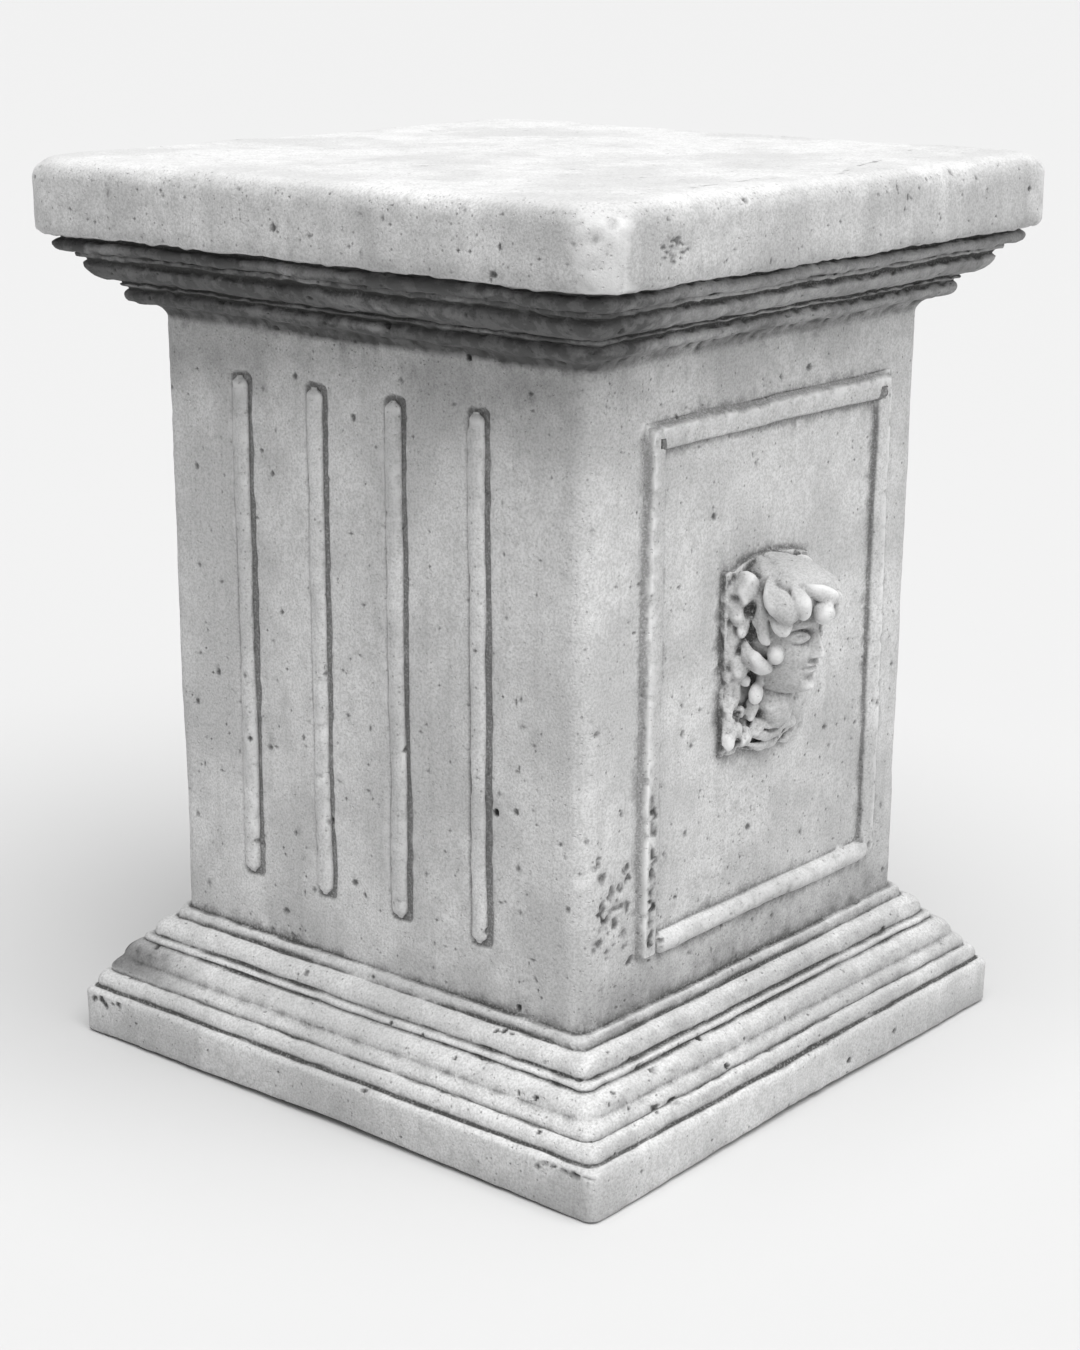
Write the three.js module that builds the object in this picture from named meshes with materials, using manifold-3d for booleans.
// Square cast-stone garden pedestal, one casting, in millimetres with +Z up.
// The origin is the middle of the underside. The front, with the framed panel and the head in
// relief, faces -Y. The two sides, with four upright reeds each, face -X and +X. The back, +Y,
// has the same framed panel, left plain.
import * as THREE from 'three';
import { mergeVertices } from 'three/addons/utils/BufferGeometryUtils.js';
import Module from 'manifold-3d';

const wasm = await Module();
wasm.setup();

// Heights
const HEIGHT = 500;
const SLAB_UNDERSIDE = 459.5;
const SHAFT_TOP = 411.5;
const SHAFT_FOOT = 76;
const PLINTH_ARRIS = 28;

// Half widths
const SLAB_HALF = 200;
const SHAFT_HALF_TOP = 148.4;
const SHAFT_HALF_FOOT = 146.8;
const PLINTH_HALF = 189;

// Corner radii in plan
const SLAB_CORNER = 21;
const CORNICE_CORNER = 9;
const SHAFT_CORNER = 11;
const BASE_CORNER = 7;
const PLINTH_CORNER = 6;
const CORNER_STEPS = 4;

// Rounded edges in section
const PLINTH_FOOT_ROUND = 2.5;
const PLINTH_ARRIS_ROUND = 4;
const SLAB_LOWER_ROUND = 4;
const SLAB_TOP_ROUND = 12;

// Reeds: half-round bars, each standing in its own shallow channel
const REED_COUNT = 4;
const REED_PITCH = 55.4;
const REED_MIDDLE = -4.6;
const REED_TOP = 390;
const REED_FOOT = 107.5;
const REED_WIDTH = 10.8;
const REED_PROUD = 3;
const CHANNEL_MARGIN = 2;
const CHANNEL_DEPTH = 1.6;

// Framed panel: cushion bars on three sides and a fatter roll along the foot
const FRAME_LEFT = -103.5;
const FRAME_RIGHT = 118.5;
const FRAME_TOP = 384.5;
const FRAME_FOOT = 104.5;
const FRAME_BAR = 15.4;
const FRAME_PROUD = 4;
const FOOT_ROLL_UP = 108;
const FOOT_ROLL_WIDTH = 12.6;
const FOOT_ROLL_PROUD = 5.6;

// Plaque that carries the head
const PLAQUE_LEFT = -38.6;
const PLAQUE_RIGHT = 39;
const PLAQUE_FOOT = 197.5;
const PLAQUE_SHOULDER = 297;
const PLAQUE_ARCH = 5;
const PLAQUE_PROUD = 5;

// Head in relief, two thirds of the plaque's height from crown to chin. Its own proportions are
// the usual ones of a drawing book: width and depth by the height, eyes half way up, the face
// in thirds. Levels are shares of the height, counted up from the chin.
const HEAD_CROWN = PLAQUE_SHOULDER;
const HEAD_HEIGHT = (PLAQUE_SHOULDER + PLAQUE_ARCH - PLAQUE_FOOT) * 0.66;
const HEAD_CHIN = HEAD_CROWN - HEAD_HEIGHT;
const HEAD_MIDDLE = 1;
const HEAD_ROOT = 2;
const HEAD_HALF_WIDTH = HEAD_HEIGHT * 0.355;
const HEAD_REACH = HEAD_HEIGHT * 0.49;
const EYE_LEVEL = 0.5;
const BROW_LEVEL = 0.585;
const NOSE_LEVEL = 0.365;
const NOSE_PROUD = HEAD_HEIGHT * 0.1;
const MOUTH_LEVEL = 0.25;
const HEAD_ROWS = 28;
const HEAD_COLUMNS = 42;

// How far a raised form is rooted in the face behind it
const ROOT = 3;

// A closed body through equal rings of points, with a fan over each end. The rings run
// anticlockwise when looked at from the end towards which they are stacked.
function loftedGeometry(rings) {
  const count = rings[0].length;
  const index = [];
  for (let r = 0; r < rings.length - 1; r += 1) {
    for (let i = 0; i < count; i += 1) {
      const a = r * count + i;
      const b = r * count + ((i + 1) % count);
      index.push(a, b, b + count, a, b + count, a + count);
    }
  }
  const last = (rings.length - 1) * count;
  for (let i = 1; i < count - 1; i += 1) {
    index.push(0, i + 1, i);
    index.push(last, last + i, last + i + 1);
  }
  const geometry = new THREE.BufferGeometry();
  geometry.setAttribute('position', new THREE.Float32BufferAttribute(rings.flat(2), 3));
  geometry.setIndex(index);
  return geometry;
}

function toSolid(geometry) {
  const bare = geometry.clone();
  bare.deleteAttribute('normal');
  bare.deleteAttribute('uv');
  const merged = mergeVertices(bare, 1e-4);
  return new wasm.Manifold(new wasm.Mesh({
    numProp: 3,
    vertProperties: new Float32Array(merged.attributes.position.array),
    triVerts: new Uint32Array(merged.index.array),
  }));
}

function toGeometry(solid) {
  const mesh = solid.getMesh();
  const geometry = new THREE.BufferGeometry();
  geometry.setAttribute('position', new THREE.Float32BufferAttribute(mesh.vertProperties, 3));
  geometry.setIndex(Array.from(mesh.triVerts));
  geometry.computeVertexNormals();
  return geometry;
}

// The block's section. Every entry is half width, height and corner radius in plan.
function arc(half, height, reachOut, reachUp, fromDegrees, toDegrees, steps, corner) {
  const points = [];
  for (let i = 0; i <= steps; i += 1) {
    const degrees = THREE.MathUtils.lerp(fromDegrees, toDegrees, i / steps);
    const angle = THREE.MathUtils.degToRad(degrees);
    points.push([half + reachOut * Math.cos(angle), height + reachUp * Math.sin(angle), corner]);
  }
  return points;
}

function plinthSection() {
  const foot = PLINTH_FOOT_ROUND;
  const arris = PLINTH_ARRIS_ROUND;
  return [
    ...arc(PLINTH_HALF - foot, foot, foot, foot, -90, 0, 2, PLINTH_CORNER),
    ...arc(PLINTH_HALF - arris, PLINTH_ARRIS - arris, arris, arris, 0, 90, 3, PLINTH_CORNER),
  ];
}

// Bead, wave, thin bead, torus and small step, each parted from the next by a fine groove
function baseSection() {
  return [
    [184.2, 29, BASE_CORNER],
    ...arc(178.6, 30.4, 6, 7, 0, 90, 3, BASE_CORNER),
    [178.8, 37.9, BASE_CORNER],
    [179, 39.4, BASE_CORNER],
    [177.6, 42.2, BASE_CORNER],
    [174.9, 44.6, BASE_CORNER],
    [173.7, 46.8, BASE_CORNER],
    [172.9, 49.4, BASE_CORNER],
    [170.4, 52.4, BASE_CORNER],
    [166.4, 54.6, BASE_CORNER],
    [164.3, 55.2, BASE_CORNER],
    ...arc(162.4, 56.6, 2.6, 1.9, -20, 90, 3, BASE_CORNER),
    [160.2, 58.8, BASE_CORNER],
    ...arc(151.2, 60.2, 9.4, 9.2, 0, 90, 4, BASE_CORNER),
    ...arc(148.6, 72.4, 3, 3, 0, 90, 2, SHAFT_CORNER),
  ];
}

// Cavetto, roll, fillet, large roll, fillet and bead under the slab
function corniceSection() {
  return [
    ...arc(156.4, 412.6, -8, 8.4, 0, 90, 3, SHAFT_CORNER),
    [157.4, 421.4, CORNICE_CORNER],
    ...arc(158.6, 426.2, 6, 4.4, -80, 50, 4, CORNICE_CORNER),
    [163, 430.4, CORNICE_CORNER],
    ...arc(163.4, 432, 2.5, 1.3, -60, 50, 2, CORNICE_CORNER),
    [165.2, 433.6, CORNICE_CORNER],
    ...arc(166.8, 443, 12.4, 8.8, -85, 0, 4, CORNICE_CORNER),
    [177.6, 444.8, CORNICE_CORNER],
    [178.6, 446.4, CORNICE_CORNER],
    [181.8, 447, CORNICE_CORNER],
    [182.2, 449.2, CORNICE_CORNER],
    [181.6, 449.9, CORNICE_CORNER],
    ...arc(186.2, 453.8, 4.3, 3.5, -90, 70, 4, CORNICE_CORNER),
    [186.8, 458, CORNICE_CORNER],
  ];
}

function slabSection() {
  const lower = SLAB_LOWER_ROUND;
  const upper = SLAB_TOP_ROUND;
  return [
    [189.5, SLAB_UNDERSIDE, CORNICE_CORNER],
    ...arc(SLAB_HALF - lower, SLAB_UNDERSIDE + lower, lower, lower, -90, 0, 3, SLAB_CORNER),
    ...arc(SLAB_HALF - upper, HEIGHT - upper, upper, upper, 0, 90, 4, SLAB_CORNER),
  ];
}

// One ring of the block: a square with rounded corners, anticlockwise seen from above
function squareRing([half, height, corner]) {
  const points = [];
  const inner = half - corner;
  for (const [sideX, sideY] of [[1, 1], [-1, 1], [-1, -1], [1, -1]]) {
    const start = Math.atan2(sideY, sideX) - Math.PI / 4;
    for (let i = 0; i <= CORNER_STEPS; i += 1) {
      const angle = start + (Math.PI / 2) * (i / CORNER_STEPS);
      points.push([
        sideX * inner + corner * Math.cos(angle),
        sideY * inner + corner * Math.sin(angle),
        height,
      ]);
    }
  }
  return points;
}

function blockSolid() {
  const section = [
    ...plinthSection(),
    ...baseSection(),
    [SHAFT_HALF_FOOT, SHAFT_FOOT, SHAFT_CORNER],
    [SHAFT_HALF_TOP, SHAFT_TOP, SHAFT_CORNER],
    ...corniceSection(),
    ...slabSection(),
  ];
  return toSolid(loftedGeometry(section.map(squareRing)));
}

// A place on the front of the shaft: across, up, and out from its slightly battered face
function onFront(across, up, out) {
  const share = (up - SHAFT_FOOT) / (SHAFT_TOP - SHAFT_FOOT);
  return [across, -THREE.MathUtils.lerp(SHAFT_HALF_FOOT, SHAFT_HALF_TOP, share) - out, up];
}

// A bar on the front. A station is { at: [across, up], side: [across, up], size }, where side
// is the way its width runs (stretched at a mitre) and size narrows it towards an end.
function barSolid(stations, section) {
  const rings = stations.map(({ at, side, size }) => section.map(([width, out]) => onFront(
    at[0] + width * side[0] * size,
    at[1] + width * side[1] * size,
    out > 0 ? out * size : out,
  )));
  return toSolid(loftedGeometry(rings));
}

// Half a cushion standing proud, with its root sunk in the face; flatness 1 is a half ellipse
function cushionSection(width, proud, steps, flatness) {
  const points = [[width / 2, -ROOT], [-width / 2, -ROOT]];
  for (let i = 0; i <= steps; i += 1) {
    const angle = Math.PI * (1 - i / steps);
    const cosine = Math.cos(angle);
    const across = Math.sign(cosine) * Math.abs(cosine) ** flatness;
    points.push([(width / 2) * across, proud * Math.sin(angle) ** flatness]);
  }
  return points;
}

// Stations from one end to the other of a straight bar, with both ends rounded off
function roundEndedStations(start, end, side, endLength, endSteps, endSize) {
  const from = new THREE.Vector2(...start);
  const to = new THREE.Vector2(...end);
  const length = from.distanceTo(to);
  const runs = [];
  for (let i = 0; i <= endSteps; i += 1) {
    const angle = (Math.PI / 2) * (i / endSteps);
    const size = THREE.MathUtils.lerp(endSize, 1, Math.sin(angle));
    runs.push([endLength * (1 - Math.cos(angle)), size]);
  }
  const mirrored = runs.map(([run, size]) => [length - run, size]).reverse();
  return [...runs, ...mirrored].map(([run, size]) => {
    const at = from.clone().lerp(to, run / length).toArray();
    return { at, side, size };
  });
}

function reedAcross(index) {
  return REED_MIDDLE + (index - (REED_COUNT - 1) / 2) * REED_PITCH;
}

function channelSolid(index) {
  const across = reedAcross(index);
  const half = REED_WIDTH / 2 + CHANNEL_MARGIN;
  const section = [
    [half, -CHANNEL_DEPTH],
    [-half, -CHANNEL_DEPTH],
    [-half, REED_PROUD],
    [half, REED_PROUD],
  ];
  const stations = roundEndedStations(
    [across, REED_FOOT], [across, REED_TOP], [1, 0], half, 2, 0.4,
  );
  return barSolid(stations, section);
}

function reedSolid(index) {
  const across = reedAcross(index);
  const foot = REED_FOOT + CHANNEL_MARGIN;
  const top = REED_TOP - CHANNEL_MARGIN;
  const stations = roundEndedStations(
    [across, foot], [across, top], [1, 0], REED_WIDTH / 2, 2, 0.4,
  );
  return barSolid(stations, cushionSection(REED_WIDTH, REED_PROUD, 5, 1));
}

// Cushion bar up the left, across the top and down the right, mitred at the upper corners
function frameSolid() {
  const left = FRAME_LEFT + FRAME_BAR / 2;
  const right = FRAME_RIGHT - FRAME_BAR / 2;
  const top = FRAME_TOP - FRAME_BAR / 2;
  const stations = [
    { at: [left, FRAME_FOOT], side: [1, 0], size: 1 },
    { at: [left, top], side: [1, -1], size: 1 },
    { at: [right, top], side: [-1, -1], size: 1 },
    { at: [right, FRAME_FOOT], side: [-1, 0], size: 1 },
  ];
  return barSolid(stations, cushionSection(FRAME_BAR, FRAME_PROUD, 6, 0.6));
}

function footRollSolid() {
  const start = [FRAME_LEFT + FRAME_BAR, FOOT_ROLL_UP];
  const end = [FRAME_RIGHT - FRAME_BAR / 2, FOOT_ROLL_UP];
  const stations = roundEndedStations(start, end, [0, -1], FOOT_ROLL_WIDTH / 2, 2, 0.5);
  return barSolid(stations, cushionSection(FOOT_ROLL_WIDTH, FOOT_ROLL_PROUD, 6, 0.9));
}

// Plaque: a low tablet with a straight left edge, an arched top and a sagging foot
function plaqueSolid() {
  const width = PLAQUE_RIGHT - PLAQUE_LEFT;
  const steps = 6;
  const outline = [];
  for (let i = 0; i <= steps; i += 1) {
    const share = i / steps;
    const sag = PLAQUE_ARCH * Math.sin(Math.PI * share ** 1.6);
    outline.push([PLAQUE_LEFT + width * share, PLAQUE_FOOT - sag]);
  }
  for (let i = 0; i <= steps; i += 1) {
    const share = i / steps;
    const rise = PLAQUE_ARCH * Math.sin(Math.PI * share);
    outline.push([PLAQUE_RIGHT - width * share, PLAQUE_SHOULDER + rise]);
  }
  const middleAcross = (PLAQUE_LEFT + PLAQUE_RIGHT) / 2;
  const middleUp = (PLAQUE_FOOT + PLAQUE_SHOULDER) / 2;
  const layers = [[-ROOT, 1], [PLAQUE_PROUD - 1.5, 1], [PLAQUE_PROUD, 0.97]];
  const rings = layers.map(([out, size]) => outline.map(([across, up]) => onFront(
    THREE.MathUtils.lerp(middleAcross, across, size),
    THREE.MathUtils.lerp(middleUp, up, size),
    out,
  )));
  return toSolid(loftedGeometry(rings));
}

// Head. Half width and reach at each height are read off smooth curves through a few places.
function curveThrough(places) {
  return (share) => {
    let i = 1;
    while (i < places.length - 1 && share > places[i][0]) {
      i += 1;
    }
    const [fromShare, fromValue] = places[i - 1];
    const [toShare, toValue] = places[i];
    const t = THREE.MathUtils.clamp((share - fromShare) / (toShare - fromShare), 0, 1);
    return THREE.MathUtils.lerp(fromValue, toValue, t * t * (3 - 2 * t) * 0.4 + t * 0.6);
  };
}

const headWidth = curveThrough([
  [0, 0.2], [0.04, 0.42], [0.12, 0.6], [0.25, 0.8], [0.4, 0.93], [0.6, 1], [0.75, 0.97],
  [0.88, 0.78], [0.96, 0.48], [1, 0.1],
]);
const headReach = curveThrough([
  [0, 0.5], [0.03, 0.78], [0.09, 0.91], [0.17, 0.9], [0.3, 0.95], [0.45, 0.97], [0.6, 1],
  [0.75, 0.98], [0.88, 0.8], [0.96, 0.5], [1, 0.1],
]);

function bump(across, level, atAcross, atLevel, spreadAcross, spreadLevel) {
  const u = (across - atAcross) / spreadAcross;
  const v = (level - atLevel) / spreadLevel;
  return Math.exp(-u * u - v * v);
}

// How far the features stand out of the plain face. Left and right are alike, so the place
// across is taken from the middle line.
function featureOut(across, level) {
  const side = Math.abs(across);
  const ridge = THREE.MathUtils.smoothstep(BROW_LEVEL - level, 0, BROW_LEVEL - NOSE_LEVEL);
  const onNose = level > NOSE_LEVEL - 0.045 && level < BROW_LEVEL ? 1 : 0;
  const tip = bump(across, level, 0, NOSE_LEVEL, 3.4, 0.035);
  const bridge = onNose * (1.2 + 4.2 * ridge) * Math.exp(-((across / 2.8) ** 2));
  let out = Math.max(NOSE_PROUD * tip, bridge);
  out += 1.6 * bump(side, level, 3.8, NOSE_LEVEL - 0.012, 2, 0.03);
  out += 1.6 * bump(side, level, 9, BROW_LEVEL, 6.5, 0.035);
  out -= 4.2 * bump(side, level, 9, EYE_LEVEL + 0.01, 5.4, 0.058);
  out += 3.9 * bump(side, level, 9.6, EYE_LEVEL, 3.9, 0.036);
  out += 1.4 * bump(side, level, 12, 0.37, 6, 0.08);
  out += 2.2 * bump(across, level, 0, MOUTH_LEVEL + 0.032, 5, 0.02);
  out += 2.4 * bump(across, level, 0, MOUTH_LEVEL - 0.036, 4.4, 0.026);
  out -= 1 * bump(across, level, 0, MOUTH_LEVEL, 6, 0.012);
  out += 1.8 * bump(across, level, 0, 0.09, 6, 0.05);
  return out;
}

// Rings of the head from under the chin to the crown, closest together across the face
function headSolid() {
  const rings = [];
  for (let row = 0; row <= HEAD_ROWS; row += 1) {
    const t = row / HEAD_ROWS;
    const level = t - 0.09 * Math.sin(2 * Math.PI * t);
    const up = THREE.MathUtils.lerp(HEAD_CHIN, HEAD_CROWN, level);
    const ring = [];
    for (let column = 0; column < HEAD_COLUMNS; column += 1) {
      const turn = (2 * Math.PI * column) / HEAD_COLUMNS;
      const angle = turn - 0.5 * Math.sin(turn);
      const across = HEAD_HALF_WIDTH * headWidth(level) * Math.sin(angle);
      const facing = Math.cos(angle);
      const reach = (facing > 0 ? HEAD_REACH : ROOT + HEAD_ROOT) * headReach(level);
      const out = facing > 0 ? featureOut(across, level) * facing ** 0.5 : 0;
      const squared = Math.sign(facing) * Math.abs(facing) ** 0.93;
      ring.push(onFront(HEAD_MIDDLE + across, up, HEAD_ROOT + reach * squared + out));
    }
    rings.push(ring);
  }
  return toSolid(loftedGeometry(rings));
}

// A rounded mass of hair or drapery: an egg on the front, by its middle and three half sizes
function massSolid([across, up, out], [halfAcross, halfUp, halfOut], columns, rows) {
  const sphere = new THREE.SphereGeometry(1, columns, rows);
  sphere.rotateX(Math.PI / 2);
  sphere.scale(halfAcross, halfOut, halfUp);
  const [x, y, z] = onFront(across, up, out);
  sphere.translate(x, y, z);
  return toSolid(sphere);
}

// A lock of hair or a fold: a spindle along a bent line, thickest before its middle
function spindleSolid(start, bend, end, radius, tipShare) {
  const curve = new THREE.QuadraticBezierCurve3(
    new THREE.Vector3(...onFront(...start)),
    new THREE.Vector3(...onFront(...bend)),
    new THREE.Vector3(...onFront(...end)),
  );
  const steps = 5;
  const sides = 6;
  const frames = curve.computeFrenetFrames(steps, false);
  const rings = [];
  for (let i = 0; i <= steps; i += 1) {
    const share = i / steps;
    const swell = Math.sin(Math.PI * (0.12 + 0.78 * share)) ** 0.7;
    const size = radius * THREE.MathUtils.lerp(swell, swell * tipShare, share);
    const centre = curve.getPointAt(share);
    const ring = [];
    for (let side = 0; side < sides; side += 1) {
      const angle = (2 * Math.PI * side) / sides;
      const place = centre.clone()
        .addScaledVector(frames.normals[i], size * Math.cos(angle))
        .addScaledVector(frames.binormals[i], size * Math.sin(angle));
      ring.push(place.toArray());
    }
    rings.push(ring);
  }
  return toSolid(loftedGeometry(rings));
}

// A place on the hair over the head: turn to the side in degrees, level, and lift off the skull
function onHead(turnDegrees, level, lift) {
  const turn = THREE.MathUtils.degToRad(turnDegrees);
  const width = HEAD_HALF_WIDTH * headWidth(level) + lift;
  const reach = HEAD_REACH * headReach(level) + lift;
  const up = THREE.MathUtils.lerp(HEAD_CHIN, HEAD_CROWN, level);
  return [
    HEAD_MIDDLE + width * Math.sin(turn),
    up,
    HEAD_ROOT + reach * Math.cos(turn) ** 0.85,
  ];
}

// Short curls over the forehead and temples, each one falling from the crown and turning
// alternately to one side
function fringeSolids() {
  const solids = [massSolid([HEAD_MIDDLE, 280, 6], [29, 18, 32], 18, 9)];
  const widest = 80;
  const rows = [
    { curls: 6, start: 0.97, bend: 0.93, end: 0.8, radius: 6.2, lift: 3 },
    { curls: 7, start: 0.88, bend: 0.82, end: 0.63, radius: 6.8, lift: 5 },
  ];
  for (const { curls, start, bend, end, radius, lift } of rows) {
    for (let i = 0; i < curls; i += 1) {
      const turn = THREE.MathUtils.lerp(-widest, widest, i / (curls - 1));
      const sway = i % 2 === 0 ? 10 : -10;
      const droop = 0.06 * (turn / widest) ** 2;
      solids.push(spindleSolid(
        onHead(turn * 0.8, start, lift - 2),
        onHead(turn + sway, bend, lift),
        onHead(turn - sway, end - droop, lift - 3.5),
        radius,
        0.6,
      ));
    }
  }
  return solids;
}

// Fuller locks beside the cheeks, and the knotted ends of hair that spread over the plaque
function sideLockSolids() {
  const solids = [];
  for (const side of [-1, 1]) {
    solids.push(massSolid([side * 25.5 + HEAD_MIDDLE, 262, 4], [9.5, 25, 13], 12, 8));
    for (let i = 0; i < 4; i += 1) {
      const up = 277 - i * 12;
      const across = HEAD_MIDDLE + side * (25.5 + (i % 2) * 3);
      solids.push(spindleSolid(
        [across - side * 2, up + 9, 17 - i * 2.6],
        [across + side * 5, up, 20 - i * 2.8],
        [across - side * 3, up - 9, 15 - i * 2.4],
        6.2 - i * 0.4,
        0.7,
      ));
    }
    for (let i = 0; i < 5; i += 1) {
      const up = 288 - i * 16;
      const lean = i % 2 === 0 ? 3 : -3;
      solids.push(spindleSolid(
        [side * (31 - lean), up + 8, 5],
        [side * (35 + lean), up, 8],
        [side * (31.5 - lean), up - 9, 4.5],
        5.8,
        0.8,
      ));
    }
  }
  return solids;
}

// Neck with the rough folds of drapery gathered under it
function neckSolids() {
  const solids = [massSolid([HEAD_MIDDLE, 224, 6], [12.5, 18, 18], 14, 8)];
  for (let i = 0; i < 3; i += 1) {
    const drop = i * 5.2;
    const spread = 19 + i * 5;
    solids.push(spindleSolid(
      [HEAD_MIDDLE - spread, 217 - drop, 4],
      [HEAD_MIDDLE + 2, 205 - drop, 26 - i * 6.5],
      [HEAD_MIDDLE + spread, 216 - drop, 4],
      3.6,
      1,
    ));
  }
  return solids;
}

// Solids made on the front are turned to their own side by quarter turns about the upright
// axis: 0 front, -1 left, 1 right, 2 back
function turnedSolid(solid, quarterTurns) {
  return toSolid(toGeometry(solid).rotateZ((quarterTurns * Math.PI) / 2));
}

function pedestalSolid() {
  let solid = blockSolid();
  for (const quarter of [-1, 1]) {
    for (let i = 0; i < REED_COUNT; i += 1) {
      solid = solid.subtract(turnedSolid(channelSolid(i), quarter));
      solid = solid.add(turnedSolid(reedSolid(i), quarter));
    }
  }
  for (const quarter of [0, 2]) {
    solid = solid.add(turnedSolid(frameSolid(), quarter));
    solid = solid.add(turnedSolid(footRollSolid(), quarter));
  }
  const relief = [
    plaqueSolid(),
    headSolid(),
    ...fringeSolids(),
    ...sideLockSolids(),
    ...neckSolids(),
  ];
  for (const form of relief) {
    solid = solid.add(form);
  }
  return solid;
}

const castStone = new THREE.MeshStandardMaterial({
  color: 0xbdbcb9,
  roughness: 0.92,
  metalness: 0,
});

const pedestal = new THREE.Mesh(toGeometry(pedestalSolid()), castStone);
pedestal.name = 'pedestal';

const object = new THREE.Group();
object.add(pedestal);

export default object;
